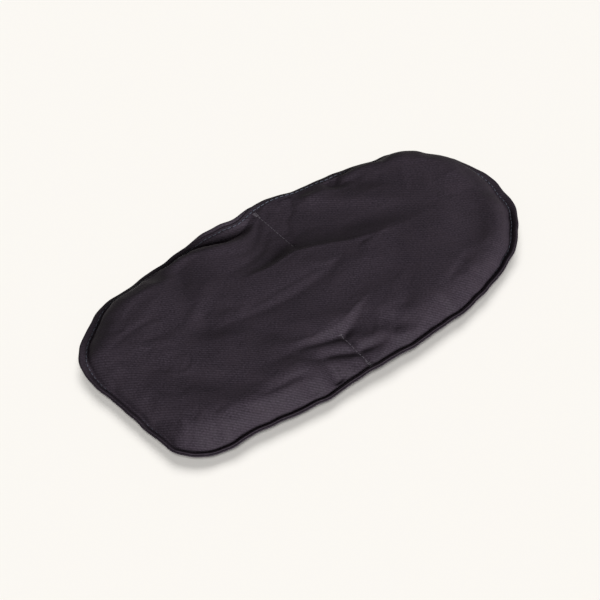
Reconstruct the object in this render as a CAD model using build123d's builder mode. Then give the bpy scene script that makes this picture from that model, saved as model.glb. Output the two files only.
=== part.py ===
"""Eye pillow: two cloth panels sewn round a loose grain filling and pinched by two short tack seams.

Frame: the origin lies under the middle of the pillow, on the surface that it rests on. +X runs along
the pillow, +Y points to its far long side and +Z up. All sizes are in millimetres.
"""

import os
from math import cos, pi, radians, sin

from build123d import *

# ---- Overall sizes
pillow_length = 220.0
pillow_width = 110.0
seam_height = 5.0  # the plane where the two panels meet, above the resting surface
crown_rise = 7.8  # underside of the crown's cloth, above the seam plane
cloth = 0.5  # one layer of cloth

# ---- Outline: how far each virtual corner lies inside the bounding rectangle (along, across), its
# roundness, which is its radius as a share of the width, and where each end reaches furthest out
near_left_setback = (14.0, 7.0)
near_right_setback = (14.0, 10.0)
far_right_setback = (15.0, 16.0)
far_left_setback = (1.0, 18.0)
near_left_roundness = 0.15
near_right_roundness = 0.39
far_right_roundness = 0.29
far_left_roundness = 0.33
corner_tightening = 1.2  # power by which inner rings round their corners tighter than they shrink
left_end_offset = 20.0  # towards the far side
right_end_offset = 0.0
long_side_steps = 12  # straight sides that stand for each part of the outline in a stuffed half's rings
end_steps = 4
corner_steps = 7

# ---- Edge seam
rim_width = 4.0  # flat rim outside the stuffed part
rim_overlap = 1.3  # how far the rim's doubled cloth runs on under the foot of the crown
topstitch_inset = 2.9
allowance_width = 9.0  # each panel's turned-in margin, from the edge inwards
joining_seam_inset = 0.9
filling_gap = 48.0  # opening in the joining seam, through which the pillow was turned and filled
filling_gap_centre = 46.0

# ---- Stuffed shape
crown_run = 36.0  # how far inside the rim the crown levels off
belly_run = 16.0  # how far inside the rim the underside levels off
rest_cut = 0.5  # the underside is cut flat this deep
crown_rings = 6  # rings of the outline that each stuffed half is lofted through
belly_rings = 3
grain_clearance = 0.2

# ---- Tack seams, each running inwards from the rim
far_tack_x = 5.0
near_tack_x = -7.0
far_tack_length = 28.6
near_tack_length = 17.6
tack_strip = 1.8  # width of cloth pressed flat along a tack seam
tack_gap = 0.6  # from the rim's doubled cloth to the first stitch in the valley

# ---- Valleys that the tack seams pull into the crown: reach to the left and to the right, at the rim, at
# the seam's inner end and where the valley has run out, and how far past the inner end that is
far_valley_reach = ((42.0, 56.0), (27.0, 52.0), (14.0, 36.0))
far_valley_fade = 9.0
far_valley_turn = -13.0  # degrees by which the inner end of the valley turns about the vertical
near_valley_reach = ((27.0, 20.0), (20.0, 18.0), (5.0, 5.0))
near_valley_fade = 9.0
near_valley_turn = 8.0
belly_valley_reach = ((9.0, 9.0), (6.5, 6.5), (3.0, 3.0))
belly_valley_fade = 8.0
flank_steps = ((0.3, 0.2), (0.7, 0.8))  # shares of a flank's reach, and of the depth climbed there
fade_depth = 0.4  # depth of a valley where it has run out

# ---- Thread
thread = 0.4
stitch_pitch = 2.7
stitch_length = 2.1
tack_pitch = 2.2
tack_stitch_length = 1.75

half_length = pillow_length / 2
half_width = pillow_width / 2
rim_top = seam_height + 2 * cloth
rim_bottom = seam_height - 2 * cloth
belly_drop = seam_height - cloth  # from the seam plane down to the cloth that lies on the surface
tack_start = rim_width + rim_overlap + tack_gap  # inset of the first stitch that lies in the valley
far, near = 1, -1
up, down = 1, -1


# ---- Outline
def corner_points(inset):
    """The outline's four virtual corners, drawn in by inset, each with its radius."""
    shrink = 1 - inset / half_width
    corners = (
        (-1, -1, near_left_setback, near_left_roundness),
        (1, -1, near_right_setback, near_right_roundness),
        (1, 1, far_right_setback, far_right_roundness),
        (-1, 1, far_left_setback, far_left_roundness),
    )
    return [
        (
            along * (half_length - inset - setback[0] * shrink),
            across * (half_width - inset - setback[1] * shrink),
            roundness * pillow_width * shrink**corner_tightening,
        )
        for along, across, setback, roundness in corners
    ]


def raw_outline(inset, height):
    """Four bowed sides and four rounded corners, before centring."""
    shrink = 1 - inset / half_width
    corners = corner_points(inset)
    near_left, near_right, far_right, far_left = [(x, y) for x, y, radius in corners]
    with BuildSketch(Plane.XY.offset(height)) as ring:
        with BuildLine():
            ThreePointArc(near_left, (0, inset - half_width), near_right)
            ThreePointArc(near_right, (half_length - inset, right_end_offset * shrink), far_right)
            ThreePointArc(far_right, (0, half_width - inset), far_left)
            ThreePointArc(far_left, (inset - half_length, left_end_offset * shrink), near_left)
        make_face()
        for x, y, radius in corners:
            corner = ring.vertices().sort_by_distance((x, y, height))[0]
            fillet(corner, radius)
    return ring.sketch


centre_shift = -raw_outline(0, 0).bounding_box().center()


def outline(inset, height):
    """The pillow's outline, drawn in by inset, at a height above the resting surface."""
    return raw_outline(inset, height).moved(Location(centre_shift))


def stepped_outline(inset, height):
    """The outline in short straight sides, with its ends in the same places on every ring."""
    wire = outline(inset, height).face().outer_wire()
    steps = (long_side_steps, corner_steps, end_steps, corner_steps) * 2
    with BuildSketch(Plane.XY.offset(height)) as ring:
        with BuildLine():
            corners = [edge @ (k / n) for edge, n in zip(wire.order_edges(), steps) for k in range(n)]
            Polyline(*[(corner.X, corner.Y) for corner in corners], close=True)
        make_face()
    return ring.sketch


def plate(inset, bottom, top, shape=stepped_outline):
    """A flat plate inside the outline."""
    with BuildPart() as slab:
        add(shape(inset, bottom))
        extrude(amount=top - bottom)
    return slab.part


def band(outer_inset, inner_inset, bottom, top, shape=stepped_outline):
    """A flat band that follows the outline between two insets; shape draws its outer edge."""
    with BuildPart() as strip:
        add(plate(outer_inset, bottom, top, shape))
        add(plate(inner_inset, bottom, top), mode=Mode.SUBTRACT)
    return strip.part


# ---- Stuffed shape
def bulge(inset, base, rise, run, sense):
    """One stuffed half: outline rings that climb from base and draw in over a rounded shoulder."""
    rings = crown_rings if sense == up else belly_rings
    with BuildPart() as half:
        for ring in range(rings):
            angle = pi / 2 * ring / (rings - 1)
            draw_in = run * (1 - cos(angle))
            add(stepped_outline(inset + draw_in, base + sense * rise * sin(angle)))
        loft(ruled=True)
    return half.part


def valley_section(x, y, turn, floor, foot, reach, depth, sense):
    """Section of a tack's valley: a flat foot between two flanks that climb to level."""
    level = floor + sense * depth
    ceiling = level + sense * crown_rise
    flanks = [
        [(foot, floor)]
        + [(foot + (side_reach - foot) * out, floor + sense * depth * climbed) for out, climbed in flank_steps]
        + [(side_reach, level), (side_reach, ceiling)]
        for side_reach in reach
    ]
    left = [(-out, height) for out, height in reversed(flanks[0])]
    heading = (cos(radians(turn)), sin(radians(turn)), 0)
    facing = (sin(radians(turn)), -cos(radians(turn)), 0)
    with BuildSketch(Plane(origin=(x, y, 0), x_dir=heading, z_dir=facing)) as section:
        with BuildLine():
            Polyline(*left, *flanks[1], close=True)
        make_face()
    return section.sketch


def valley(tack, spread, sense):
    """The room that a tack seam takes out of one stuffed half, grown by spread."""
    x, side, length, reaches, fade, turn = tack
    if sense == down:
        reaches, fade, turn = belly_valley_reach, belly_valley_fade, 0
    depth = crown_rise if sense == up else belly_drop + rest_cut
    floor = seam_height + sense * (cloth - spread)
    foot = tack_strip / 2 + spread
    inner_end = half_width - tack_start - length
    stations = (
        (half_width, 0, floor, depth),
        (inner_end, turn, floor, depth),
        (inner_end - fade, turn, floor + sense * (depth - fade_depth), fade_depth),
    )
    sections = []
    for (y, station_turn, raised, left), (left_reach, right_reach) in zip(stations, reaches):
        reach = (left_reach + spread, right_reach + spread)
        sections.append(valley_section(x, side * y, station_turn, raised, foot, reach, left, sense))
    with BuildPart() as straight:
        add(sections[:2])
        loft(ruled=True)
    with BuildPart() as run_out:
        add(sections[1:])
        loft(ruled=True)
    return straight.part + run_out.part


tacks = (
    (far_tack_x, far, far_tack_length, far_valley_reach, far_valley_fade, far_valley_turn),
    (near_tack_x, near, near_tack_length, near_valley_reach, near_valley_fade, near_valley_turn),
)


def stuffed_half(margin, sense):
    """Half of the space inside the cloth, drawn in by margin, with both tacks' valleys taken out."""
    rise, run = (crown_rise, crown_run) if sense == up else (belly_drop, belly_run)
    with BuildPart() as half:
        add(bulge(rim_width + cloth + margin, seam_height, rise - margin, run, sense))
        for tack in tacks:
            add(valley(tack, cloth + margin, sense), mode=Mode.SUBTRACT)
    return half.part


# ---- Joining seam, sewn with the pillow inside out, so that its thread lies inside the rim
def joining_thread(sense):
    """One thread of the joining seam, open where the pillow was filled."""
    middle = seam_height + sense * cloth
    inner = joining_seam_inset + thread
    with BuildPart() as ring:
        add(band(joining_seam_inset, inner, middle - thread / 2, middle + thread / 2))
        with Locations((filling_gap_centre, half_width, middle)):
            Box(filling_gap, pillow_width, 2 * thread, mode=Mode.SUBTRACT)
    return ring.part


joining_seam_needle_thread = joining_thread(up)
joining_seam_bobbin_thread = joining_thread(down)

# ---- Top panel
with BuildPart() as top_panel:
    add(bulge(rim_width, seam_height + cloth, crown_rise, crown_run, up))
    for tack in tacks:
        add(valley(tack, 0, up), mode=Mode.SUBTRACT)
    add(plate(rim_width, seam_height, seam_height + cloth))
    add(band(0, rim_width + rim_overlap, seam_height, rim_top, outline))
    add(stuffed_half(0, up), mode=Mode.SUBTRACT)
    add(band(rim_width, allowance_width, seam_height, seam_height + cloth))
    add(joining_seam_needle_thread, mode=Mode.SUBTRACT)

# ---- Bottom panel
with BuildPart() as bottom_panel:
    add(bulge(rim_width, seam_height - cloth, belly_drop + rest_cut, belly_run, down))
    for tack in tacks:
        add(valley(tack, 0, down), mode=Mode.SUBTRACT)
    split(bisect_by=Plane.XY, keep=Keep.TOP)
    add(plate(rim_width, seam_height - cloth, seam_height))
    add(band(0, rim_width + rim_overlap, rim_bottom, seam_height, outline))
    add(stuffed_half(0, down), mode=Mode.SUBTRACT)
    add(band(rim_width, allowance_width, seam_height - cloth, seam_height))
    add(joining_seam_bobbin_thread, mode=Mode.SUBTRACT)

# ---- Grain filling: one loose mass, continuous between the tacks, clear of the turned-in margins
with BuildPart() as grain_filling:
    add(stuffed_half(grain_clearance, up))
    add(stuffed_half(grain_clearance, down))
    margin_room = cloth + grain_clearance
    add(
        band(0, allowance_width + grain_clearance, seam_height - margin_room, seam_height + margin_room),
        mode=Mode.SUBTRACT,
    )


# ---- Stitches
def stitch(length, sense):
    """One stitch lying on the cloth, its ends sloping down into the needle holes."""
    half = length / 2
    with BuildPart() as bar:
        with BuildSketch(Plane.XZ):
            Polygon((-half, 0), (half, 0), (0, sense * thread), align=None)
        extrude(amount=thread / 2, both=True)
    return bar.part


def edge_thread(sense):
    """The topstitch's stitches on one side of the rim, evenly spaced along the outline."""
    level = rim_top if sense == up else rim_bottom
    path = outline(topstitch_inset, level).face().outer_wire()
    count = round(path.length / stitch_pitch)
    one = stitch(stitch_length, sense)
    places = []
    for number in range(count):
        share = number / count
        place = Plane(origin=path @ share, x_dir=path % share, z_dir=(0, 0, 1))
        places.append(one.moved(place.location))
    return Compound(children=places)


def tack_thread(tack, sense):
    """A tack seam's stitches on one side of the cloth: one on the rim, the others down the valley."""
    x, side, length = tack[:3]
    on_rim = rim_top if sense == up else rim_bottom
    in_valley = seam_height + sense * cloth
    one = stitch(tack_stitch_length, sense)
    first = half_width - rim_width - tack_stitch_length / 2
    start = half_width - tack_start - tack_stitch_length / 2
    places = [one.moved(Location((x, side * first, on_rim), (0, 0, 90)))]
    for number in range(int(length / tack_pitch)):
        y = side * (start - number * tack_pitch)
        places.append(one.moved(Location((x, y, in_valley), (0, 0, 90))))
    return Compound(children=places)


# ---- Hand over
pieces = {
    "top_panel": top_panel.part,
    "bottom_panel": bottom_panel.part,
    "grain_filling": grain_filling.part,
    "joining_seam_needle_thread": joining_seam_needle_thread,
    "joining_seam_bobbin_thread": joining_seam_bobbin_thread,
    "edge_needle_thread": edge_thread(up),
    "edge_bobbin_thread": edge_thread(down),
    "far_tack_needle_thread": tack_thread(tacks[0], up),
    "far_tack_bobbin_thread": tack_thread(tacks[0], down),
    "near_tack_needle_thread": tack_thread(tacks[1], up),
    "near_tack_bobbin_thread": tack_thread(tacks[1], down),
}
os.makedirs("parts", exist_ok=True)
for name, piece in pieces.items():
    piece.label = name
    export_step(piece, f"parts/{name}.step")
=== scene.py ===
"""Looks of the eye pillow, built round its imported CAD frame: padded cloth, seams, stitches, light and camera.

Lengths in the tables are millimetres in the frame of the CAD model. Angles are degrees.
"""

import math

import bmesh
import bpy
import numpy as np
from mathutils import Matrix, Vector
from mathutils.bvhtree import BVHTree
from mathutils.kdtree import KDTree


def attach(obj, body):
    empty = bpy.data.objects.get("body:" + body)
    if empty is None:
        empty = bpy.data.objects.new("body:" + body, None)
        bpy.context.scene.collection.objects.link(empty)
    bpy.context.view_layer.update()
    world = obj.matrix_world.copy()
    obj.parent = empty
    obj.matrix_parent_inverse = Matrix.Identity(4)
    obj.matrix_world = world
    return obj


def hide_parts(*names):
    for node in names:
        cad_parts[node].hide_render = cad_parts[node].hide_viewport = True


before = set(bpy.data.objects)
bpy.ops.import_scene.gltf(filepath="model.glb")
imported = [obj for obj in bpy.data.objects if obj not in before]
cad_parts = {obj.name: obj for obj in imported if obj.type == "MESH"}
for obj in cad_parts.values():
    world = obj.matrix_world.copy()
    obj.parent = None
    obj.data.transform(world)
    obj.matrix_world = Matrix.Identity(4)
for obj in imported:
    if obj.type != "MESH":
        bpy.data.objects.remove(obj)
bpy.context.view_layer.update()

MM = 0.001

# ---- Shape of the rim, anticlockwise from the right end: x, y, how far the rim turns up from level,
# how far inside the rim the crown levels off, and the width of the ditch between them
RIM = (
    (110.0, 0, 12, 18, 0.9), (108.9, 9, -10, 16, 0.3), (104.9, 21.6, -30, 13, 0.1),
    (97, 33.7, -36, 12, 0.1), (87, 41.2, -38, 12, 0.1), (73, 44.9, -36, 13, 0.1), (61, 47.5, -30, 13, 0.2),
    (50, 49.2, -16, 12, 0.6), (38, 50.4, -24, 10, 0.2), (28, 52, -28, 9, 0.1), (18, 54, -22, 9, 0.2),
    (9, 55, -4, 9, 0.6), (1, 54, 10, 8, 1.4), (-6, 52.4, 14, 6, 3.6), (-14, 52.8, 16, 5, 5.2),
    (-23, 53.4, 14, 5, 4.6), (-33, 52.2, 10, 8, 1.6), (-44, 50.8, 2, 12, 0.3), (-56, 49.7, -14, 12, 0.2),
    (-68, 48.5, -30, 12, 0.2), (-81, 46.5, -20, 12, 0.7), (-93, 39.9, 0, 12, 1.2),
    (-102.5, 31.8, 22, 11, 1.3), (-108.2, 23, 40, 11, 1.3), (-109.8, 14, 48, 12, 1.2),
    (-108.4, 3, 50, 12, 1.0), (-106.5, -8, 50, 12, 1.2), (-104.8, -18, 50, 12, 1.1),
    (-103.4, -28, 50, 12, 0.9), (-101.2, -37.8, 50, 12, 0.8), (-96.4, -45.1, 50, 13, 0.6),
    (-88.6, -50.3, 50, 14, 0.4), (-78, -52.5, 50, 14, 0.4), (-67, -53.1, 52, 14, 0.3),
    (-56, -54.5, 52, 12, 0.3), (-44, -56.5, 52, 12, 0.3), (-32, -57.5, 52, 11, 0.3),
    (-20, -57.2, 50, 10, 0.3), (-8, -57, 48, 12, 0.3), (4, -57.6, 48, 11, 0.3), (16, -57.9, 50, 10, 0.3),
    (30, -57.6, 50, 12, 0.3), (44, -57, 50, 12, 0.3), (56, -55, 48, 11, 0.3), (68, -51.4, 46, 10, 0.4),
    (80, -47.2, 44, 11, 0.7), (90.6, -40.8, 42, 12, 1.2), (99.7, -32.1, 42, 12, 1.5),
    (106.2, -22.9, 40, 12, 1.6), (109.2, -11, 30, 15, 1.3),
)
COLUMNS = 800  # points round the rim
STITCH_INSET = 3.2  # from the edge to the topstitch
SEAM_Z = 5.0  # height of the plane where the two cloths meet
PRESSED = 0.78  # the cloth's outside over the seam plane, where it is stitched
EASE_IN = 0.25  # inside the topstitch the cloth stays pressed this far
CROWN = 7.3  # height of the crown above the stitched rim
BELLY_RUN = 15.0  # how far inside the topstitch the underside reaches the table
STRAIGHT_DEPTH = 10.0  # down to this depth the rows of points run straight in from the edge
SPINE = (-62.0, 64.0)  # further in, they run towards this middle line
MIDDLE_DEPTH = 55.0  # depth at which they reach it
MIDDLE_STEP = 1.0
NEAR_DROOP = 1.8  # how far the seam droops along the near side

# ---- Stitches: pitch along the rim, half the length of a stitch, and half the thickness of the thread
EDGE_PITCH, EDGE_HALF, EDGE_THREAD = 2.7, 1.08, 0.2
SEAM_PITCH, SEAM_HALF, SEAM_THREAD = 2.2, 0.95, 0.14
TACK_PITCH, TACK_THREAD = 2.2, 0.17
EDGE_STITCH = (0.0, 0.9)  # place of the topstitch in the rim's section: outwards, and up from its middle
SEAM_STITCH = (2.2, 0.42)
FILLING_GAP = (22, 70)  # stretch along x that was left open to pour the grain in

# ---- Tack seams: inner end, outer end
FAR_TACK = ((6.6, 20.6), (4.4, 50.0))
NEAR_TACK = ((-7.9, -32.2), (-6.8, -53.4))

# ---- Hollows that the tack seams pull into the crown: middle, reach to the left and to the right, depth,
# the crest that borders each, and how far past the crest its floor lies, along x
FAR_HOLLOW = dict(
    middle=6, left=38, right=76, deep=0.86, sense=1, tail=0.24,
    crest=((-70, 20), (-45, 16), (-30, 15), (-19, 15.0), (-12, 14.2), (-4, 15.0), (3, 15.2), (10.7, 12.8),
           (18.4, 9.4), (27.6, 4.8), (37.9, 1.2), (46, -0.8), (53, -2), (75, -4)),
    fall=((-45, 5), (-20, 4.5), (-4, 5.5), (4, 10), (12, 16), (20, 18), (30, 18), (45, 16), (60, 14)),
)
NEAR_HOLLOW = dict(
    middle=-7, left=30, right=25, deep=0.52, sense=-1, tail=0,
    crest=((-60, -27), (-50, -27.4), (-26, -27.6), (-16, -29.6), (-7.5, -31), (4, -27.5), (16, -24.5),
           (30, -21), (50, -17)),
    fall=((-50, 5), (-15, 4), (-7, 3.8), (3, 3.6), (12, 4.8), (30, 7.5)),
)

# ---- Folds of the top cloth: points, height along them (negative for a valley), and reach to the left
# and to the right of the line
FOLDS = (
    # long shallow crease across the middle
    (((-52, -1), (-38, -2.6), (-24, -4.4), (-8, -5), (8, -3.4), (20, 0)),
     (-0.2, -0.7, -0.9, -0.7, -0.4, -0.1), 2.4, 3.2),
    # valleys that fan out from the near tack's inner end
    (((-7, -33.4), (1, -33.2), (9, -32.4), (18, -29.8), (30, -25)), (-1.0, -0.4, -0.2, -0.1, 0), 2.4, 2.4),
    (((-8, -33.4), (-17, -32.4), (-24, -30.8), (-33, -30.4), (-44, -29.6), (-56, -28.6)),
     (-1.2, -0.9, -0.6, -0.35, -0.2, 0), 2.2, 2.4),
    (((-9, -33), (-17, -29), (-27, -25)), (-0.7, -0.6, -0.1), 2.0, 2.6),
    # ridge to the right of the near tack and the fold that crosses the tack
    (((-3, -41.4), (6, -42.6), (16, -43)), (0.5, 0.5, 0.1), 4.2, 4.4),
    (((-30, -37.6), (-18, -40), (-10, -43), (-4, -45), (3, -47.2), (9, -49)),
     (-0.3, -1.7, -2.6, -2.8, -2.0, -0.4), 1.8, 2.4),
    (((-22, -37), (-34, -37), (-46, -36.6), (-58, -35)), (0.3, 0.7, 0.6, 0.1), 3.6, 4.0),
    # dark hollow on the right of the near tack and the roll beyond it
    (((8, -39), (14, -43.5), (19, -49)), (-0.8, -3.0, -2.2), 5, 5),
    (((17, -36), (23, -38.4), (30, -38)), (-0.1, -0.4, -0.1), 2.6, 3),
    # rolls along the near side
    (((-58, -40.2), (-51, -41.2), (-44, -41.8), (-36, -42.8), (-30, -44.5)),
     (0, -0.8, -1.1, -0.9, -0.2), 1.8, 1.8),
    (((-80, -40.5), (-68, -39.6), (-57, -41), (-46, -43.8), (-34, -46)), (0.2, 0.8, 0.6, 0.9, 0.3), 6, 9),
    # ridge on the right of the far tack and the hollow beside it
    (((28, 47), (34, 39), (45, 29), (56, 19), (66, 9)), (0.4, 1.0, 1.2, 1.0, 0.2), 12, 6),
    (((47, 44), (56, 36), (67, 28), (74, 24)), (-1.6, -2.4, -1.8, -0.3), 9, 9),
    (((66, 41), (76, 36), (86, 29)), (0.5, 0.9, 0.3), 7, 9),
    # hollow inside the rolled near right corner
    (((60, -38), (69.5, -32), (79, -24), (86, -14), (90.5, -3), (90.5, 9)),
     (-0.2, -1.8, -2.6, -2.8, -2.2, 0), 11, 8),
    (((60, -12), (72, -8), (80, 2)), (0.4, 0.8, 0.4), 12, 12),
    # slow waves of the left lobe
    (((-54, 43), (-45, 40.5), (-37, 38)), (-0.6, -2.6, -1.4), 8, 11),
    (((-41, 40), (-44, 30), (-48, 18)), (-0.8, -1.0, -0.1), 9, 9),
    (((-84, 33), (-72, 33), (-58, 31), (-50, 28)), (0.3, 1.3, 1.4, 0.3), 9, 16),
    (((-104, 2), (-88, -4), (-72, -14), (-60, -26)), (-0.3, -0.9, -0.9, -0.3), 10, 10),
    (((-62, -6), (-52, -9), (-42, -14)), (0.3, 0.9, 0.5), 6, 10),
    (((-64, 8), (-53, 4), (-44, 1)), (-0.1, -1.3, -0.1), 7, 6),
    (((-48, -14), (-38, -15), (-28, -14)), (-0.1, -0.7, -0.1), 6, 5.5),
    (((-96, 14), (-100, 4), (-99, -8)), (-0.5, -0.9, -0.4), 6, 5),
    # small puckers round the far tack, and the roll along the rim on its left
    (((12, 47), (11, 41), (9.4, 35), (9, 28)), (-1.8, -2.4, -2.0, -0.3), 2.4, 4.2),
    (((1.5, 44), (-4, 37), (-12, 31), (-20, 30)), (-1.2, -1.2, -0.7, -0.1), 2.2, 4),
    (((1, 36), (-8, 27), (-20, 23), (-32, 22)), (-0.4, -0.8, -0.6, -0.1), 2.0, 3),
    (((-40, 42), (-28, 38.6), (-16, 38), (-6, 40)), (0.4, 1.4, 1.6, 0.2), 4, 9),
    (((23, 45.5), (30, 42.5), (37, 40)), (0.8, 2.2, 0.8), 3.5, 6),
    # sharp creases that run in from the far rim
    (((20, 50), (17, 45.5), (13.5, 41)), (-2.0, -2.6, -0.3), 2.4, 1.8),
    (((49, 47), (45, 43), (41, 40)), (-1.6, -2.4, -0.3), 2.6, 1.8),
    (((-52, 47), (-56, 43), (-61, 40)), (-0.8, -1.2, -0.1), 3, 2),
)

# ---- Gullies between the crown and the rim, below the level of the seam: points, depth and reach
GULLIES = (
    (((-34, 46.4), (-27, 45), (-18, 43.6), (-8, 44.6), (1, 47.6)), (0.1, 2.6, 3.6, 3.2, 0.8), 3.6),
    (((-106, 24), (-106, 12), (-105, 2), (-103, -8), (-101, -18), (-99.6, -27), (-97.4, -36)),
     (0.3, 1.2, 1.5, 1.7, 1.6, 1.2, 0.4), 1.8),
    (((-97, 31), (-88, 37.4), (-78, 41.6)), (0.3, 0.6, 0.2), 1.7),
    (((88, -36.5), (97, -28), (102, -18), (104.4, -8)), (0.3, 1.0, 1.2, 0.4), 1.7),
)

# ---- Puckers where the crown meets the rim: x, y, depth, half width along the rim, reach inwards
PUCKERS = (
    (-57, 47, 1.6, 5, 8), (18, 49, 2.6, 4, 8), (46, 45.5, 2.6, 4, 8), (74, 41, 1.0, 4, 8),
    (-23, -50, 3.0, 3.2, 8), (-82, -47, 0.6, 3, 7), (-60, -50, 0.4, 3, 6), (-36, -52, 1.2, 3.5, 8),
    (14, -53, 0.5, 4, 6), (98, 30, 0.8, 4, 9), (-105, 8, 1.0, 6, 8), (-102, -22, 0.6, 5, 7),
    (62, -50, 0.5, 4, 7), (-98, 33, 0.8, 4, 8), (-75, -49, 0.4, 3, 6), (38, -53, 0.4, 3, 6),
)


def catmull_rom(a, b, c, d, t):
    """The curve from b, at 0, to c, at 1, between the neighbours a and d."""
    return 0.5 * (2 * b + (c - a) * t + (2 * a - 5 * b + 4 * c - d) * t**2 + (3 * b - a - 3 * c + d) * t**3)


def smooth_closed(points, count):
    """A closed Catmull-Rom curve through rows of numbers, evenly spaced by its first two."""
    p = np.array(points, float)
    fine = 24
    t = np.linspace(0, 1, fine, endpoint=False)[:, None]
    rows = []
    for i in range(len(p)):
        a, b, c, d = p[i - 1], p[i], p[(i + 1) % len(p)], p[(i + 2) % len(p)]
        rows.append(catmull_rom(a, b, c, d, t))
    q = np.vstack(rows)
    step = np.linalg.norm(np.diff(q[:, :2], axis=0, append=q[:1, :2]), axis=1)
    along = np.concatenate([[0], np.cumsum(step)])
    want = np.linspace(0, along[-1], count, endpoint=False)
    closed = np.vstack([q, q[:1]])
    return np.stack([np.interp(want, along, closed[:, k]) for k in range(p.shape[1])], 1), along[-1]


def smooth_open(points, count=90):
    """An open Catmull-Rom curve through points, with even steps of its parameter."""
    p = np.array(points, float)
    p = np.vstack([2 * p[0] - p[1], p, 2 * p[-1] - p[-2]])
    t = np.linspace(0, len(p) - 3 - 1e-9, count)
    i = t.astype(int)
    f = (t - i)[:, None]
    a, b, c, d = p[i], p[i + 1], p[i + 2], p[i + 3]
    return catmull_rom(a, b, c, d, f)


def ring_blur(values, reach):
    """Gaussian blur along the closed rim."""
    k = np.arange(-3 * reach, 3 * reach + 1)
    w = np.exp(-0.5 * (k / reach) ** 2)
    w /= w.sum()
    return sum(np.roll(values, int(s), axis=0) * wt for s, wt in zip(k, w))


def ease(x, low, high):
    """A smooth step from 0 at low to 1 at high."""
    t = np.clip((x - low) / (high - low), 0, 1)
    return t * t * (3 - 2 * t)


rim, perimeter = smooth_closed(RIM, COLUMNS)
edge = rim[:, :2]
rim_turn = np.radians(ring_blur(rim[:, 2], 6))
crown_run = ring_blur(rim[:, 3], 8)
rim_ditch = ring_blur(rim[:, 4], 6)
tangent = np.roll(edge, -1, 0) - np.roll(edge, 1, 0)
inward = ring_blur(np.stack([-tangent[:, 1], tangent[:, 0]], 1), 9)
inward /= np.linalg.norm(inward, axis=1)[:, None]
arc = np.arange(COLUMNS) / COLUMNS
step_mm = perimeter / COLUMNS


def waves(phase, *parts):
    """Sum of sines round the rim: (cycles, height, start)."""
    return sum(h * np.sin(2 * np.pi * (c * phase + s)) for c, h, s in parts)


STITCHES = round(perimeter / EDGE_PITCH)

rim_lift = waves(arc, (11, 0.22, 0.1), (17, 0.18, 0.6), (29, 0.12, 0.3), (43, 0.07, 0.8))
rim_sway = waves(arc, (23, 0.16, 0.2), (37, 0.12, 0.5), (61, 0.07, 0.9))
edge = edge - inward * rim_sway[:, None]
seam_z = SEAM_Z + rim_lift

# The seam droops towards the table along the near side, and moves inwards by as much as that would carry
# the outline outwards in the photograph's view.
facing = inward @ np.array([0.6, 0.8])
beside_tack = np.exp(-(((edge[:, 0] - 8) / 24) ** 2))
droop = NEAR_DROOP * ease(facing, -0.1, 0.8) * (1 - 0.6 * beside_tack)
edge = edge + inward * (0.81 * facing * droop)[:, None]
seam_z = seam_z - droop


def inset_points(depths):
    """Points at each depth inside the edge, rows by depth and columns round the rim."""
    turn = edge + inward * STRAIGHT_DEPTH
    goal = np.stack([np.clip(turn[:, 0], *SPINE), np.zeros(COLUMNS)], 1)
    depths = np.asarray(depths, float)
    near_part = edge[None] + inward[None] * np.minimum(depths, STRAIGHT_DEPTH)[:, None, None]
    share = np.clip(depths - STRAIGHT_DEPTH, 0, None) / (MIDDLE_DEPTH - STRAIGHT_DEPTH)
    points = near_part + (goal - turn)[None] * share[:, None, None]
    folded = share > 1 - 1e-6  # both sides share the same points on the middle line
    points[folded, :, 0] = np.round(points[folded, :, 0] / MIDDLE_STEP) * MIDDLE_STEP
    return points


def to_line(x, y, points, count=90):
    """Distance to a curve, place along it from 0 to 1, and which side of it, from 1, left, to -1, right."""
    line = smooth_open(points, count)
    along = np.concatenate([[0], np.cumsum(np.linalg.norm(np.diff(line, axis=0), axis=1))])
    heading = np.gradient(line, axis=0)
    flat = np.stack([x.ravel(), y.ravel()], 1)
    best = np.full(len(flat), 1e9)
    where = np.zeros(len(flat), int)
    for i, q in enumerate(line):
        d = (flat[:, 0] - q[0]) ** 2 + (flat[:, 1] - q[1]) ** 2
        closer = d < best
        best[closer] = d[closer]
        where[closer] = i
    q, h = line[where], heading[where]
    aside = (h[:, 0] * (flat[:, 1] - q[:, 1]) - h[:, 1] * (flat[:, 0] - q[:, 0])) / np.linalg.norm(h, axis=1)
    side = np.tanh(aside / 1.5)
    return [v.reshape(x.shape) for v in (np.sqrt(best), along[where] / along[-1], side)]


def fold(x, y, points, heights, left, right):
    """Height of one fold: rounded at its line and falling off to each side over its reach."""
    distance, share, side = to_line(x, y, points)
    reach = (left + right) / 2 + side * (left - right) / 2
    round_over = 0.5
    s = (np.sqrt(distance**2 + round_over**2) - round_over) / reach
    height = np.interp(share, np.linspace(0, 1, len(heights)), heights)
    narrow = min(left, right) < 5
    steepness = 1.35 if narrow else 1.9  # a narrow fold has long feet
    return height * np.exp(-(s ** steepness))


def pinch(x, y, tack, width_in, width_out, past):
    """Share from 0, free, to 1, pinched to the seam, round a tack seam."""
    inner, outer = np.array(tack[0]), np.array(tack[1])
    run = outer - inner
    length = np.linalg.norm(run)
    run = run / length
    a = (x - inner[0]) * run[0] + (y - inner[1]) * run[1]
    b = (x - inner[0]) * run[1] - (y - inner[1]) * run[0]
    beyond = np.clip(-a, 0, None)
    t = np.clip(a / length, 0, 1)
    width = width_in + (width_out - width_in) * t
    off = np.hypot(b / width, beyond / past)
    return (1 - np.clip(off, 0, 1)) ** 2.3


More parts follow.
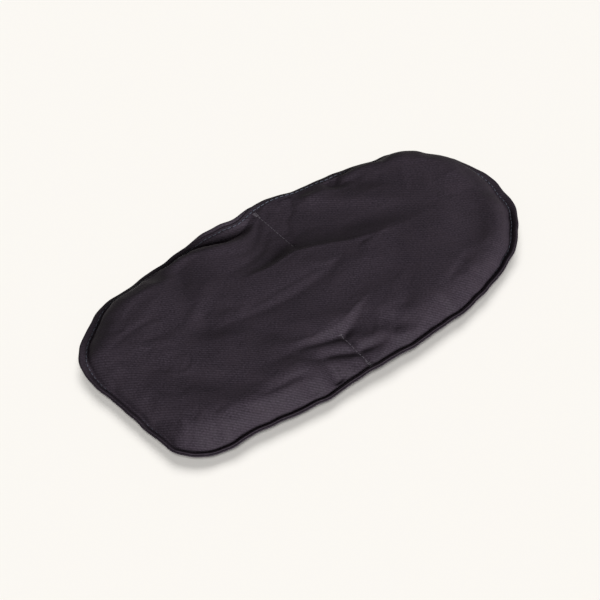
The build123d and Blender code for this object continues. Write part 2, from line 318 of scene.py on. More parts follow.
def hollow_share(x, y, middle, left, right, deep, sense, tail, crest, fall):
    """Share of the crown's height that a tack's hollow takes away: steep past its crest, then a tail."""
    off = x - middle
    bell = np.cos(np.pi / 2 * np.clip(np.abs(off) / np.where(off < 0, left, right), 0, 1)) ** 2
    past = sense * (y - np.interp(x, *zip(*crest)))
    width = np.interp(x, *zip(*fall))
    t = np.clip(past / width, 0, 1)
    tail_length, tail_onset = 20, 14
    slow = tail * np.clip((past - width) / tail_length, 0, 1) * np.clip(off / tail_onset, 0, 1)
    return np.clip(bell * (deep * (1 - (1 - t) ** 2) + slow), 0, 0.95)


def crown_shape(depth, run):
    """Rise of a stuffed cloth from 0 at its seam to 1 where it levels off."""
    q = np.clip(depth / run, 0, 1)
    return (1 - (1 - q) ** 2.3) ** 0.62


def top_height(x, y, depth):
    """Height of the top cloth over the seam plane, inside the topstitch."""
    inside = np.clip(depth - STITCH_INSET - EASE_IN - rim_ditch[None], 0, None)
    full = CROWN * (1 - 0.16 * np.exp(-(((x - 2) / 46) ** 2)))  # lower between the two tacks
    body = full * crown_shape(inside, crown_run[None])
    body = body * (1 + 0.04 * np.sin(x / 19 + 0.6) * np.sin(y / 15 + 1.1))
    hollow = np.maximum(hollow_share(x, y, **FAR_HOLLOW), hollow_share(x, y, **NEAR_HOLLOW))
    body = body * (1 - hollow)
    extra = np.zeros_like(x)
    for points, heights, left, right in FOLDS:
        extra += fold(x, y, points, heights, left, right)
    body = body + extra * ease(inside, 0.5, 9)
    for px, py, deep, half, reach in PUCKERS:
        near = np.hypot(x - px, y - py) < 40
        i = np.argmin(np.hypot(edge[:, 0] - px, edge[:, 1] - py))
        t = tangent[i] / np.linalg.norm(tangent[i])
        s = (x - px) * t[0] + (y - py) * t[1]
        r = (x - px) * inward[i, 0] + (y - py) * inward[i, 1]
        body = body - deep * np.exp(-((s / half) ** 2) - (r / reach) ** 2) * ease(inside, 0, 2) * near
    held = np.maximum(pinch(x, y, FAR_TACK, 1.8, 2.4, 1.5), pinch(x, y, NEAR_TACK, 3.0, 3.5, 2.5))
    body = body * (1 - 0.9 * held)
    body = np.maximum(body, 0.01 * inside)
    for points, depths, reach in GULLIES:
        distance, share, _ = to_line(x, y, points)
        low = np.interp(share, np.linspace(0, 1, len(depths)), depths)
        clear = ease(depth, STITCH_INSET + 0.4, STITCH_INSET + 3)  # of the topstitch
        body = body - low * np.exp(-((distance / reach) ** 2)) * clear
    return PRESSED + body


def mesh_object(name, points, faces, uv=None):
    """A smooth object from points in millimetres, with flat cloth coordinates where they are given."""
    mesh = bpy.data.meshes.new(name)
    mesh.from_pydata((np.asarray(points) * MM).tolist(), [], faces)
    if uv is not None:
        layer = mesh.uv_layers.new(name="cloth")
        loops = np.empty(len(mesh.loops), int)
        mesh.loops.foreach_get("vertex_index", loops)
        layer.data.foreach_set("uv", (np.asarray(uv)[loops] * MM).astype(np.float32).ravel())
    body = bmesh.new()
    body.from_mesh(mesh)
    bmesh.ops.remove_doubles(body, verts=body.verts, dist=0.002 * MM)
    body.to_mesh(mesh)
    body.free()
    mesh.polygons.foreach_set("use_smooth", [True] * len(mesh.polygons))
    mesh.update()
    obj = bpy.data.objects.new(name, mesh)
    bpy.context.scene.collection.objects.link(obj)
    return obj


def ring_faces(rows, columns, flip=False):
    """Quads between rings of points."""
    faces = []
    for r in range(rows - 1):
        a, b = r * columns, (r + 1) * columns
        for c in range(columns):
            d = (c + 1) % columns
            quad = (a + c, a + d, b + d, b + c)
            faces.append(quad[::-1] if flip else quad)
    return faces


# ---- Rim section in its own tilted axes: outwards from the topstitch, and up from the middle plane
RIM_SECTION = (
    (-2.4, 0.08), (0, 0.07), (1.6, 0.06), (2.5, 0.06), (2.9, 0.08), (3.1, 0.16), (3.2, 0.28), (3.2, 0.42),
    (3.12, 0.56), (2.94, 0.67), (2.6, 0.76), (2.1, 0.83), (1.6, 0.86), (1.1, 0.85), (0.7, 0.81), (0.35, 0.75),
    (0.0, 0.7), (-0.15, 0.72),
)


def rim_points(section, sense, pull_back, curl):
    """The rim's points for one panel, rings by section point; its lip is pulled in and curled up."""
    rings = []
    stitch = edge + inward * STITCH_INSET
    cos, sin = np.cos(rim_turn), np.sin(rim_turn)
    pitch = 2 * np.pi * STITCHES * arc
    for out, up in section:
        o = out - pull_back * np.clip(out / 3.2, 0, 1)
        h = sense * up + curl * float(ease(out, 1.3, 2.6))
        near_stitch = math.exp(-((out / 0.7) ** 2)) * (1 if up > 0.5 else 0)
        h = h + sense * near_stitch * 0.07 * np.cos(pitch)
        flat = o * cos - h * sin
        rise = o * sin + h * cos
        p = stitch - inward * flat[:, None]
        rings.append(np.column_stack([p, seam_z + rise]))
    return np.array(rings)


def weave_uv(points):
    """Flat cloth coordinates: the first ring's plan, unrolled inwards by the length over the cloth."""
    rows = len(points)
    plan = points[:, :, :2]
    length = np.linalg.norm(np.diff(points, axis=0), axis=2)
    flat_step = np.diff(plan, axis=0)
    size = np.linalg.norm(flat_step, axis=2)
    heading = np.where(size[..., None] > 1e-6, flat_step / np.maximum(size, 1e-6)[..., None], inward[None])
    uv = np.empty_like(plan)
    uv[-1] = plan[-1]
    for r in range(rows - 2, -1, -1):
        uv[r] = uv[r + 1] - heading[r] * length[r][:, None]
    return uv.reshape(-1, 2)


# ---- Top cloth inside the topstitch
crown_depths = STITCH_INSET + np.array([0.28, 0.4, 0.58, 0.82, 1.12, 1.5, 1.95, 2.45, 3.0])
crown_depths = np.concatenate([crown_depths, np.linspace(7.0, MIDDLE_DEPTH, 62)])

doubled = np.exp(-(((edge[:, 0] + 13) / 17) ** 4)) * (edge[:, 1] > 0)  # where the rim's two lips part
top_pull = 0.15 + 1.5 * doubled
bottom_pull = 0.1 - 0.5 * doubled
bottom_curl = 1.0 * doubled

plan = inset_points(crown_depths)
x, y = plan[..., 0], plan[..., 1]
level = ease(crown_depths, 4, 14)[:, None]  # the seam's own ups and downs fade inwards
crown = np.dstack([x, y, seam_z[None] * (1 - level) + SEAM_Z * level + top_height(x, y, crown_depths[:, None])])

# ---- Under side: a shallow belly on the table, drawn up by the same tack seams
UNDER_FOLDS = (
    (((5, 19), (-14, 12), (-36, 10)), (0.9, 0.7, 0.1), 2.6, 3.4),
    (((6, 19), (26, 12), (46, 12)), (0.9, 0.6, 0.1), 2.6, 3.6),
    (((4, 24), (-14, 28), (-30, 34)), (0.6, 0.7, 0.1), 2.4, 3),
    (((6, 30), (20, 33), (36, 38)), (0.5, 0.6, 0.1), 2.6, 3),
    (((-8, -31), (-24, -26), (-46, -22)), (0.9, 0.7, 0.1), 2.4, 3.4),
    (((-7, -31), (12, -24), (32, -20)), (0.9, 0.6, 0.1), 2.4, 3.4),
    (((-7, -40), (-22, -42), (-40, -43)), (0.5, 0.5, 0.1), 2.2, 3),
    (((-6, -40), (10, -43), (28, -44)), (0.5, 0.5, 0.1), 2.2, 3),
)
belly_depths = STITCH_INSET + np.array([0.28, 0.6, 1.1, 1.8, 2.6])
belly_depths = np.concatenate([belly_depths, np.linspace(6.8, MIDDLE_DEPTH, 36)])
plan = inset_points(belly_depths)
x, y = plan[..., 0], plan[..., 1]
inside = belly_depths[:, None] - STITCH_INSET - EASE_IN
drop = (seam_z[None] - PRESSED) * crown_shape(inside, BELLY_RUN)
held = np.maximum(pinch(x, y, FAR_TACK, 8, 11, 5), pinch(x, y, NEAR_TACK, 8, 11, 5))
drop = drop * (1 - 0.9 * held)
for points, heights, left, right in UNDER_FOLDS:
    drop = drop - fold(x, y, points, heights, left, right) * ease(inside, 2, 9)
for c in range(0, COLUMNS, 25):  # small gathers along the topstitch
    near = np.hypot(x - edge[c, 0], y - edge[c, 1])
    drop = drop - (0.35 + 0.25 * math.sin(c * 1.7)) * np.exp(-((near / 6.5) ** 2)) * ease(inside, 0.2, 1.5)
belly = np.dstack([x, y, np.maximum(seam_z[None] - PRESSED - np.clip(drop, 0, None), 0.0)])


# ---- Cloth simulation of the crown: pressed up by the filling, held at the topstitch and along the tacks
SIM_FRAMES = 20
SIM_STEP = 4  # one column of the rim in this many is in the coarser copy
SIM_CAP = 1.2  # furthest that a point may move
SIM_SHARE = 0.55  # share of the fine wrinkles that is kept
SIM_SHRINK = -0.012  # the cloth is cut a little larger than the shape, so it wrinkles


def near_tack(points, reach):
    """True for the points within reach of a tack seam."""
    hit = np.zeros(len(points), bool)
    for inner, outer in (FAR_TACK, NEAR_TACK):
        inner, outer = np.array(inner), np.array(outer)
        run = outer - inner
        t = np.clip(((points[:, :2] - inner) @ run) / (run @ run), 0, 1)
        hit |= np.linalg.norm(points[:, :2] - inner - t[:, None] * run, axis=1) < reach
    return hit


def soften(grid):
    """Blur of a ringed grid, round the rim and inwards: the slow part of a movement."""
    wide = ring_blur(np.swapaxes(grid, 0, 1), 4)
    wide = np.swapaxes(wide, 0, 1)
    reach = 7
    k = np.arange(-2 * reach, 2 * reach + 1)
    w = np.exp(-0.5 * (k / reach) ** 2)
    padded = np.pad(wide, ((2 * reach, 2 * reach), (0, 0), (0, 0)), mode="edge")
    return sum(padded[2 * reach + s:2 * reach + s + len(grid)] * wt for s, wt in zip(k, w)) / w.sum()


def settle(crown, belly):
    """The crown after a short cloth simulation of a coarser copy, closed below by the belly."""
    rows = np.unique(np.concatenate([[0, 4, 8], np.arange(8, len(crown), 2), [len(crown) - 1]]))
    columns = np.arange(0, COLUMNS, SIM_STEP)
    upper = crown[rows][:, columns]
    lower = belly[::3][:, columns]
    stack = np.concatenate([upper[::-1], lower])
    points = stack.reshape(-1, 3)
    keys = np.round(points, 3)
    unique, first, back = np.unique(keys, axis=0, return_index=True, return_inverse=True)
    back = back.ravel()
    width = len(columns)
    faces = []
    for r in range(len(stack) - 1):
        for c in range(width):
            d = (c + 1) % width
            a, b = r * width, (r + 1) * width
            quad = list(dict.fromkeys(int(back[v]) for v in (a + c, a + d, b + d, b + c)))
            if len(quad) > 2:
                faces.append(quad[::-1])
    mesh = bpy.data.meshes.new("drape")
    mesh.from_pydata((points[first] * MM).tolist(), [], faces)
    drape = bpy.data.objects.new("drape", mesh)
    bpy.context.scene.collection.objects.link(drape)
    held = np.ones(len(first), bool)
    count = len(rows) * width
    row_of = np.full(len(first), -1)
    row_of[back[:count]] = np.repeat(np.arange(len(rows))[::-1], width)
    held[row_of > 0] = False
    held |= near_tack(points[first], 1.6)
    drape.vertex_groups.new(name="held").add(np.nonzero(held)[0].tolist(), 1.0, "REPLACE")
    cloth = drape.modifiers.new("cloth", "CLOTH")
    settings = cloth.settings
    settings.quality = 6
    settings.mass = 0.2
    settings.tension_stiffness = settings.compression_stiffness = 12
    settings.shear_stiffness = 4
    settings.bending_stiffness = 0.02
    settings.use_pressure = True
    settings.uniform_pressure_force = 0.15
    settings.shrink_min = SIM_SHRINK
    settings.vertex_group_mass = "held"
    settings.pin_stiffness = 1
    settings.effector_weights.gravity = 0
    cloth.collision_settings.use_collision = False
    cloth.point_cache.frame_start, cloth.point_cache.frame_end = 1, SIM_FRAMES
    scene = bpy.context.scene
    for moment in range(1, SIM_FRAMES + 1):
        scene.frame_set(moment)
    settled = drape.evaluated_get(bpy.context.evaluated_depsgraph_get())
    after = np.empty(len(first) * 3)
    settled.data.vertices.foreach_get("co", after)
    moved = after.reshape(-1, 3) / MM - points[first]
    bpy.data.objects.remove(drape)
    bpy.data.meshes.remove(mesh)
    scene.frame_set(1)
    size = np.linalg.norm(moved, axis=1)
    moved = moved * (SIM_CAP * np.tanh(size / SIM_CAP) / np.maximum(size, 1e-9))[:, None]
    grid = moved[back[:count]].reshape(len(rows), width, 3)[::-1]
    grid = (grid - 0.85 * soften(grid)) * SIM_SHARE
    # back to the full grid: first round the rim, then inwards
    place = np.arange(COLUMNS) / SIM_STEP
    low = place.astype(int) % width
    part = (place % 1)[None, :, None]
    grid = grid[:, low] * (1 - part) + grid[:, (low + 1) % width] * part
    want = np.arange(len(crown))
    row = np.clip(np.searchsorted(rows, want, side="right") - 1, 0, len(rows) - 2)
    part = ((want - rows[row]) / (rows[row + 1] - rows[row]))[:, None, None]
    full = grid[row] * (1 - part) + grid[row + 1] * part
    # both halves of the last ring meet on the middle line, so they move alike
    group = np.unique(np.round(crown[-1, :, 0], 3), return_inverse=True)[1].ravel()
    share = np.bincount(group)
    for k in (0, 2):
        full[-1, :, k] = (np.bincount(group, full[-1, :, k]) / share)[group]
    full[-1, :, 1] = 0
    for end in SPINE:  # where the columns crowd together, nothing moves
        near = np.hypot(crown[..., 0] - end, crown[..., 1])
        full = full * ease(near, 2, 16)[..., None]
    return crown + full


def height_over(sheet, heights, points):
    """The height of a sheet's nearest point, seen from above, over each of some points."""
    flat, values = sheet.reshape(-1, 3), heights.reshape(-1)
    tree = KDTree(len(flat))
    for k, p in enumerate(flat):
        tree.insert((p[0], p[1], 0), k)
    tree.balance()
    near = [tree.find((p[0], p[1], 0))[1] for p in points.reshape(-1, 3)]
    return values[near].reshape(points.shape[:-1])


# Where a gully presses the top cloth down beside a tack, the bottom cloth goes down with it
belly[1:, :, 2] = np.minimum(belly[1:, :, 2], height_over(crown, crown[..., 2], belly[1:]) - 0.9)

crown = settle(crown, belly)

top_rings = np.concatenate([rim_points(RIM_SECTION, 1, top_pull, 0), crown])
bottom_rings = np.concatenate([rim_points(RIM_SECTION, -1, bottom_pull, bottom_curl), belly])
top_cloth = mesh_object(
    "top_cloth", top_rings.reshape(-1, 3), ring_faces(len(top_rings), COLUMNS), weave_uv(top_rings))
bottom_cloth = mesh_object(
    "bottom_cloth", bottom_rings.reshape(-1, 3), ring_faces(len(bottom_rings), COLUMNS, True),
    weave_uv(bottom_rings))


# ---- Filling: loose grain, a little inside the two cloths
PLY = 0.65  # from the outside of the cloth to the grain
grain_columns = slice(0, COLUMNS, 2)
grain_crown = crown[7:]
over, under = grain_crown[:, grain_columns].copy(), belly[4:, grain_columns].copy()
for sheet, sense in ((over, -1), (under, 1)):
    u, v = sheet[..., 0], sheet[..., 1]
    bumps = np.sin(u * 1.31 + 1.7 * np.sin(v * 0.83)) * np.sin(v * 1.47 + 1.3 * np.sin(u * 0.71))
    sheet[..., 2] += sense * (PLY + 0.22 + 0.22 * bumps)
pressed = SEAM_Z - PRESSED
belly_shape = crown_shape(np.clip(crown_depths[7:] - STITCH_INSET, 0, None), BELLY_RUN)
under_at = np.maximum(0.0, pressed - pressed * belly_shape)[:, None] + PLY
over[..., 2] = np.maximum(over[..., 2], np.minimum(under_at + 0.3, grain_crown[:, grain_columns, 2] - 0.3))
# the lowest of the top cloth near by, so that the grain stays below the steep walls of the gullies too
roof = np.minimum.reduce([np.roll(grain_crown[..., 2], k, axis=1) for k in range(-4, 5)])
roof = np.minimum.reduce([roof, np.vstack([roof[1:], roof[-1:]]), np.vstack([roof[:1], roof[:-1]])])
over[..., 2] = np.minimum(over[..., 2], roof[:, grain_columns] - 0.3)
under[..., 2] = np.minimum(under[..., 2], height_over(grain_crown, roof, under) - 0.35)
under[..., 2] = np.minimum(under[..., 2], SEAM_Z)
grain_rings = np.concatenate([over[::-1], under])
filling = mesh_object(
    "filling", grain_rings.reshape(-1, 3), ring_faces(len(grain_rings), grain_rings.shape[1], True))


# ---- Stitches
def rim_at(place, values):
    """A value of the rim at fractional columns."""
    table = np.concatenate([values, values[:1]])
    place = np.mod(place, COLUMNS)
    if values.ndim == 1:
        return np.interp(place, np.arange(COLUMNS + 1), table)
    return np.stack([np.interp(place, np.arange(COLUMNS + 1), part) for part in table.T], -1)


def stitch_mesh(name, paths, ups, radius, sides=8):
    """Short bent rods with rounded ends along paths, one row of points each."""
    paths, ups = np.asarray(paths, float), np.asarray(ups, float)
    count, length = paths.shape[:2]
    along = np.gradient(paths, axis=1)
    along /= np.linalg.norm(along, axis=2)[..., None]
    sideways = np.cross(along, ups)
    sideways /= np.linalg.norm(sideways, axis=2)[..., None]
    upright = np.cross(sideways, along)
    s = np.linspace(-1, 1, length)
    girth = radius * np.sqrt(np.clip(1 - 0.93 * np.abs(s) ** 6, 0, 1))
    turn = np.arange(sides) / sides * 2 * np.pi
    cos, sin = np.cos(turn)[:, None], np.sin(turn)[:, None]
    ring = paths[:, :, None] + girth[:, None, None] * (cos * sideways[:, :, None] + sin * upright[:, :, None])
    points = ring.reshape(-1, 3)
    run = np.cumsum(np.linalg.norm(np.diff(paths, axis=1), axis=2), 1)
    run = np.concatenate([np.zeros((count, 1)), run], 1)
    round_it = np.broadcast_to(turn * radius, (count, length, sides))
    uv = np.stack([np.repeat(run[..., None], sides, 2), round_it], -1)
    faces = []
    for i in range(count):
        base = i * length * sides
        for r in range(length - 1):
            for k in range(sides):
                j = (k + 1) % sides
                a, b = base + r * sides, base + (r + 1) * sides
                faces.append((a + k, b + k, b + j, a + j))
        faces.append(tuple(base + k for k in range(sides)))
        faces.append(tuple(base + (length - 1) * sides + k for k in range(sides))[::-1])
    return mesh_object(name, points, faces, uv.reshape(-1, 2))


def rim_stitches(count, half, place_in_rim, sense, pull, curl, skip=None):
    """Paths and up directions of a row of stitches that follows the rim."""
    out, up = place_in_rim
    paths, ups = [], []
    s = np.linspace(-1, 1, 9)
    for i in range(count):
        middle = COLUMNS * i / count
        place = middle + s * half / step_mm
        n, t = rim_at(place, inward), rim_at(place, rim_turn)
        stitch = rim_at(place, edge) + n * STITCH_INSET
        if skip is not None and skip(stitch[4]):
            continue
        o = out - rim_at(place, pull) * max(out, 0) / 3.2
        h = sense * (up - 0.34 * s**4) + rim_at(place, curl) * float(ease(out, 1.3, 2.6))
        flat, rise = o * np.cos(t) - h * np.sin(t), o * np.sin(t) + h * np.cos(t)
        paths.append(np.column_stack([stitch - n * flat[:, None], rim_at(place, seam_z) + rise]))
        ups.append(np.column_stack([n * np.sin(t)[:, None], np.cos(t)]) * sense)
    return paths, ups


no_curl = np.zeros(COLUMNS)
needle_row = stitch_mesh("edge_stitches_top", *rim_stitches(
    STITCHES, EDGE_HALF, EDGE_STITCH, 1, top_pull, no_curl), EDGE_THREAD)
bobbin_row = stitch_mesh("edge_stitches_bottom", *rim_stitches(
    STITCHES, EDGE_HALF, EDGE_STITCH, -1, bottom_pull, no_curl), EDGE_THREAD)


def filling_gap(point):
    """True along the stretch that was left open to pour the grain in."""
    return point[1] > 0 and FILLING_GAP[0] < point[0] < FILLING_GAP[1]


SEAM_STITCHES = round(perimeter / SEAM_PITCH)
seam_needle = stitch_mesh("seam_stitches_top", *rim_stitches(
    SEAM_STITCHES, SEAM_HALF, SEAM_STITCH, 1, top_pull, no_curl, filling_gap), SEAM_THREAD)
seam_bobbin = stitch_mesh("seam_stitches_bottom", *rim_stitches(
    SEAM_STITCHES, SEAM_HALF, SEAM_STITCH, -1, bottom_pull, bottom_curl, filling_gap), SEAM_THREAD)


def surface_tree(piece):
    """A piece's faces, for finding where a line meets them."""
    places = [v.co.copy() for v in piece.data.vertices]
    return BVHTree.FromPolygons(places, [tuple(face.vertices) for face in piece.data.polygons])


top_tree, bottom_tree = surface_tree(top_cloth), surface_tree(bottom_cloth)


def tack_stitches(name, tack, tree, sense, pitch=TACK_PITCH):
    """A row of stitches laid on the cloth along a tack seam, sewn back over itself at its outer end."""
    inner, outer = np.array(tack[0]), np.array(tack[1])
    run = outer - inner
    length = np.linalg.norm(run)
    run /= length
    aside = np.array([-run[1], run[0]])
    count = int(length / pitch)
    # each stitch: where it is measured from, its middle along the seam, and how far beside it
    starts = [(inner + run * (length - count * pitch) / 2, pitch * (i + 0.5), 0.0) for i in range(count)]
    starts += [(inner, length - 1.3, 0.42), (inner, length - 3.4, -0.38), (inner, 0.9, 0.36)]
    bars = [(inner, length - 0.3 - 0.7 * i, 0.0) for i in range(4)] + [(inner, 0.2, 0.0)]
    s = np.linspace(-1, 1, 9)
    paths, ups = [], []
    for k, (origin, middle, off) in enumerate(starts + bars):
        across = k >= len(starts)  # short stitches over the seam, which bar its two ends
        path = []
        for t in s:
            if across:
                q = origin + run * (middle + 0.2 * t) + aside * (0.95 * t)
            else:
                q = origin + run * (middle + t * pitch * 0.46) + aside * (off + 0.05 * t)
            hit = tree.ray_cast(Vector((q[0] * MM, q[1] * MM, sense * 30 * MM)), Vector((0, 0, -sense)))[0]
            z = hit.z / MM if hit else SEAM_Z
            path.append((q[0], q[1], z + sense * (0.08 + 0.14 * across - 0.3 * t**6)))
        paths.append(path)
        ups.append([(0, 0, sense)] * len(s))
    return stitch_mesh(name, paths, ups, TACK_THREAD)


tack_rows = (
    (tack_stitches("far_tack_top", FAR_TACK, top_tree, 1), "far_tack_needle_thread"),
    (tack_stitches("far_tack_bottom", FAR_TACK, bottom_tree, -1), "far_tack_bobbin_thread"),
    (tack_stitches("near_tack_top", NEAR_TACK, top_tree, 1), "near_tack_needle_thread"),
    (tack_stitches("near_tack_bottom", NEAR_TACK, bottom_tree, -1), "near_tack_bobbin_thread"),
)
thread_rows = tack_rows + (
    (needle_row, "edge_needle_thread"), (bobbin_row, "edge_bobbin_thread"),
    (seam_needle, "joining_seam_needle_thread"), (seam_bobbin, "joining_seam_bobbin_thread"),
)

for piece, node in ((top_cloth, "top_panel"), (bottom_cloth, "bottom_panel")):
    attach(piece, "root")
    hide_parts(node)
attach(filling, "root")
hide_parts("grain_filling")
for piece, node in thread_rows:
    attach(piece, "root")
    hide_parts(node)


# ---- Materials
CLOTH_DARK, CLOTH_LIGHT = (0.0202, 0.0156, 0.021, 1), (0.0355, 0.028, 0.0374, 1)
CLOTH_WARM = (0.0268, 0.0204, 0.0264, 1)
LINT = (0.12, 0.11, 0.12, 1)
EDGE_DARK, EDGE_LIGHT = (0.03, 0.033, 0.045, 1), (0.088, 0.094, 0.12, 1)
TACK_DARK, TACK_LIGHT = (0.042, 0.037, 0.044, 1), (0.1, 0.088, 0.104, 1)
SEED_DARK, SEED_LIGHT = (0.12, 0.055, 0.02, 1), (0.36, 0.2, 0.085, 1)
FLOOR_PALE = (0.965, 0.9385, 0.893, 1)
FLOOR_BOUNCE = (0.3, 0.295, 0.285, 1)  # the paper as the cloth sees it
WALE_ANGLE = 41.5
THREAD_TWIST = 35
PER_METRE = (1000, 1000, 1000)  # textures are in millimetres
SEEDS_PER_METRE = (300, 520, 520)


class Graph:
    """A shader's nodes while they are put together. An input is a socket to link or a fixed value."""

    def __init__(self, tree):
        self.nodes, self.links = tree.nodes, tree.links

    def add(self, kind, **values):
        """A node, with its inputs or else its own settings given by name."""
        node = self.nodes.new("ShaderNode" + kind)
        for key, value in values.items():
            if key in node.inputs:
                node.inputs[key].default_value = value
            else:
                setattr(node, key, value)
        return node

    def feed(self, sockets, values):
        for socket, value in zip(sockets, values):
            if isinstance(value, bpy.types.NodeSocket):
                self.links.new(value, socket)
            else:
                socket.default_value = value

    def mapped(self, source, **values):
        """A source of coordinates, scaled and turned."""
        turn = self.add("Mapping", **values)
        self.links.new(source, turn.inputs[0])
        return turn.outputs[0]

    def texture(self, kind, where, **values):
        node = self.add("Tex" + kind, **values)
        self.links.new(where, node.inputs["Vector"])
        return node.outputs["Distance" if kind == "Voronoi" else "Fac"]

    def blend(self, mode, amount, low, high):
        """Two colours blended."""
        mix = self.add("Mix", data_type="RGBA", blend_type=mode)
        self.feed((mix.inputs[0], mix.inputs[6], mix.inputs[7]), (amount, low, high))
        return mix.outputs[2]

    def number(self, operation, first, second):
        node = self.add("Math", operation=operation)
        self.feed(node.inputs, (first, second))
        return node.outputs[0]

    def spread(self, value, low, high, out_low, out_high):
        """The range of a value from low to high, spread over another range."""
        node = self.add("MapRange")
        self.feed(node.inputs[:5], (value, low, high, out_low, out_high))
        return node.outputs[0]

    def grey(self, *values):
        """The same, as a grey colour to multiply by."""
        join = self.add("CombineColor")
        self.feed(join.inputs[:3], [self.spread(*values)] * 3)
        return join.outputs[0]

    def seen_ray(self):
        """1 for what the camera sees, straight or in gloss or glass, and 0 for soft bounced light."""
        path = self.add("LightPath").outputs
        seen = self.number("MAXIMUM", path["Is Camera Ray"], path["Is Glossy Ray"])
        return self.number("MAXIMUM", seen, path["Is Transmission Ray"])

    def surface(self, shader, tone, roughness, height, strength, depth, hollow=False):
        """Colour, roughness and fine relief of a shader, whose depth is in metres."""
        bump = self.add("Bump", Strength=strength, Distance=depth, invert=hollow)
        self.links.new(height, bump.inputs["Height"])
        names = ("Base Color", "Roughness", "Normal")
        self.feed([shader.inputs[n] for n in names], (tone, roughness, bump.outputs[0]))


def new_material(name):
    """A material, its graph and its shader."""
    m = bpy.data.materials.new(name)
    m.use_nodes = True
    return m, Graph(m.node_tree), m.node_tree.nodes["Principled BSDF"]


def twill_material():
    """Cotton twill: fine slanting wales crossed by the floats of single yarns, mottled, with a little lint."""
    m, graph, shader = new_material("cloth")
    flat = graph.add("UVMap", uv_map="cloth").outputs[0]
    mm = graph.mapped(flat, Scale=PER_METRE, Rotation=(0, 0, math.radians(WALE_ANGLE)))
    wales = graph.texture("Wave", mm, wave_type="BANDS", bands_direction="Y", wave_profile="SIN", Scale=0.2856,
                          Distortion=0.9, Detail=2.0, **{"Detail Scale": 0.5})
    yarns = graph.texture("Wave", mm, wave_type="BANDS", bands_direction="DIAGONAL", wave_profile="SIN",
                          Scale=0.37, Distortion=1.2, Detail=2.0, **{"Detail Scale": 0.8})
    grit = graph.texture("Noise", mm, Scale=1.1, Detail=4.0)
    cloud = graph.texture("Noise", mm, Scale=0.11, Detail=3.0)
    lint = graph.texture("Noise", mm, Scale=2.6, Detail=1.0)
    weave = graph.number("MULTIPLY", wales, graph.spread(yarns, 0, 1, 0.55, 1))
    tone = graph.blend("MIX", weave, CLOTH_DARK, CLOTH_LIGHT)
    tone = graph.blend("MULTIPLY", 1.0, tone, graph.grey(grit, 0.3, 0.7, 0.62, 1.38))
    tone = graph.blend("MULTIPLY", 1.0, tone, graph.grey(cloud, 0.3, 0.7, 0.93, 1.07))
    tone = graph.blend("MIX", graph.spread(cloud, 0.4, 0.65, 0, 0.35), tone, CLOTH_WARM)
    tone = graph.blend("MIX", graph.spread(lint, 0.74, 0.8, 0, 0.5), tone, LINT)
    roughness = graph.spread(grit, 0.3, 0.7, 0.56, 0.68)
    height = graph.number("ADD", weave, graph.spread(grit, 0, 1, 0, 0.5))
    graph.surface(shader, tone, roughness, height, 0.22, 0.00012)
    shader.inputs["Specular IOR Level"].default_value = 0.045
    return m


def thread_material(name, dark, light):
    """Spun thread: two plies twisted together, and a fuzzy uneven tone."""
    m, graph, shader = new_material(name)
    flat = graph.add("UVMap", uv_map="cloth").outputs[0]
    mm = graph.mapped(flat, Scale=PER_METRE, Rotation=(0, 0, math.radians(THREAD_TWIST)))
    plies = graph.texture("Wave", mm, wave_type="BANDS", bands_direction="X", wave_profile="SIN", Scale=0.9,
                          Distortion=0.5)
    fuzz = graph.texture("Noise", mm, Scale=4.0, Detail=2.0)
    tone = graph.blend("MIX", plies, dark, light)
    tone = graph.blend("MULTIPLY", 1.0, tone, graph.grey(fuzz, 0.3, 0.7, 0.8, 1.2))
    graph.surface(shader, tone, graph.spread(fuzz, 0.3, 0.7, 0.45, 0.65), plies, 0.5, 0.00006)
    shader.inputs["Specular IOR Level"].default_value = 0.12
    return m


def grain_material():
    """Dry brown seed: one flattened cell to each seed, with painted shade darkening each cell towards its
    border, where it meets the next seeds.
    """
    m, graph, shader = new_material("grain")
    place = graph.mapped(graph.add("TexCoord").outputs["Object"], Scale=SEEDS_PER_METRE)
    seeds = graph.texture("Voronoi", place, Scale=1.0)
    shade = graph.texture("Noise", place, Scale=0.6, Detail=2.0)
    tone = graph.blend("MIX", shade, SEED_DARK, SEED_LIGHT)
    # painted shade: each seed is a little lighter at its middle and much darker towards its border, where the
    # seeds meet
    tone = graph.blend("MULTIPLY", 1.0, tone, graph.grey(seeds, 0.1, 0.7, 1.1, 0.35))
    graph.surface(shader, tone, graph.spread(shade, 0.3, 0.7, 0.3, 0.5), seeds, 0.8, 0.0006, hollow=True)
    return m


cloth, grain = twill_material(), grain_material()
edge_thread = thread_material("edge_thread", EDGE_DARK, EDGE_LIGHT)
tack_thread = thread_material("tack_thread", TACK_DARK, TACK_LIGHT)
for piece in (top_cloth, bottom_cloth):
    piece.data.materials.append(cloth)
for piece, node in thread_rows:
    piece.data.materials.append(tack_thread if "_tack_" in node else edge_thread)
filling.data.materials.append(grain)

# ---- Stage
FLOOR_REACH, FLOOR_Z = 2000, -0.02
corners = [(-1, -1), (1, -1), (1, 1), (-1, 1)]
floor = mesh_object("floor", [(x * FLOOR_REACH, y * FLOOR_REACH, FLOOR_Z) for x, y in corners], [(0, 1, 2, 3)])
paper, graph, shader = new_material("paper")
graph.links.new(graph.blend("MIX", graph.seen_ray(), FLOOR_BOUNCE, FLOOR_PALE), shader.inputs["Base Color"])
shader.inputs["Roughness"].default_value = 1.0
shader.inputs["Specular IOR Level"].default_value = 0.0
floor.data.materials.append(paper)

# ---- Light
WORLD_FILL = 0.075
world = bpy.data.worlds.new("studio")
bpy.context.scene.world = world
world.use_nodes = True
graph = Graph(world.node_tree)
fill_light = graph.nodes["Background"]
fill_light.inputs["Color"].default_value = (1, 1, 1, 1)
fill_light.inputs["Strength"].default_value = WORLD_FILL
horizon = graph.add("Background", Color=FLOOR_PALE)
either = graph.add("MixShader")
graph.feed(either.inputs, (graph.seen_ray(), fill_light.outputs[0], horizon.outputs[0]))
graph.links.new(either.outputs[0], graph.nodes["World Output"].inputs["Surface"])


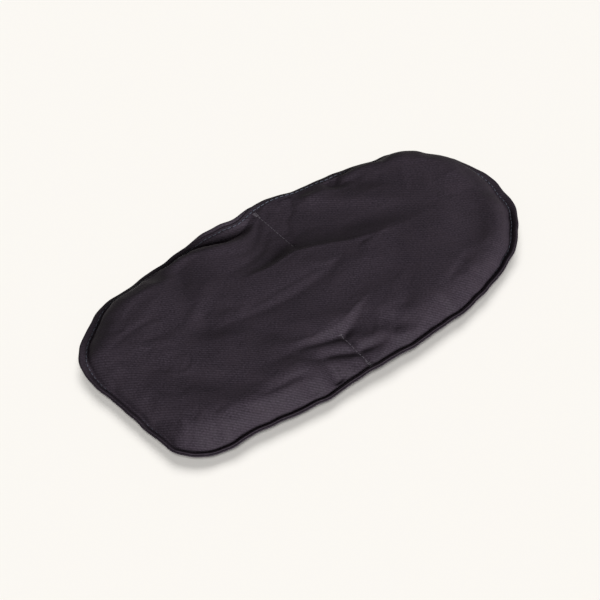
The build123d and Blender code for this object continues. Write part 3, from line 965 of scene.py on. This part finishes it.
def towards(azimuth, elevation):
    """Direction to a lamp or camera, by its angle to the right of the front and its angle up."""
    a, e = math.radians(azimuth), math.radians(elevation)
    return Vector((math.sin(a) * math.cos(e), -math.cos(a) * math.cos(e), math.sin(e)))


def sun(name, azimuth, elevation, level, width, lights):
    """A soft sun on some pieces only; level is what it gives a flat white floor."""
    lamp = bpy.data.lights.new(name, "SUN")
    lamp.energy = math.pi * level / math.sin(math.radians(elevation))
    lamp.angle = math.radians(width)
    obj = bpy.data.objects.new(name, lamp)
    obj.rotation_mode = "QUATERNION"
    obj.rotation_quaternion = towards(azimuth, elevation).to_track_quat("Z", "Y")
    bpy.context.scene.collection.objects.link(obj)
    lit = bpy.data.collections.new(name + "_lights")
    for piece in lights:
        lit.objects.link(piece)
    obj.light_linking.receiver_collection = lit


object_pieces = [top_cloth, bottom_cloth, filling] + [piece for piece, node in thread_rows]
sun("key", -6, 27, 0.93, 34, object_pieces)
sun("back", 143, 55, 0.47, 40, [floor])
sun("front", -37, 62, 0.46, 20, [floor])

# ---- Camera, fitted to the photograph's outline
CAMERA_AZIMUTH, CAMERA_ELEVATION, CAMERA_DISTANCE = -37.15, 50.92, 600.0
CAMERA_AIM = Vector((0.985, 2.332, 0))
CAMERA_LENS, CAMERA_SENSOR = 78.36, 36
IMAGE_WIDTH = 600
CAMERA_SHIFT = (-8.6, -13.8)  # in pixels of the image
back = towards(CAMERA_AZIMUTH, CAMERA_ELEVATION)
right = Vector((math.cos(math.radians(CAMERA_AZIMUTH)), math.sin(math.radians(CAMERA_AZIMUTH)), 0))
up = back.cross(right)
eye = (back * CAMERA_DISTANCE + CAMERA_AIM) * MM
camera_data = bpy.data.cameras.new("camera")
camera_data.lens, camera_data.sensor_width = CAMERA_LENS, CAMERA_SENSOR
camera_data.shift_x, camera_data.shift_y = (shift / IMAGE_WIDTH for shift in CAMERA_SHIFT)
camera_data.clip_start, camera_data.clip_end = 0.01, 20
camera = bpy.data.objects.new("camera", camera_data)
camera.matrix_world = Matrix([(right[k], up[k], back[k], eye[k]) for k in range(3)] + [(0, 0, 0, 1)])
bpy.context.scene.collection.objects.link(camera)
bpy.context.scene.camera = camera
bpy.context.scene.view_settings.view_transform = "Standard"
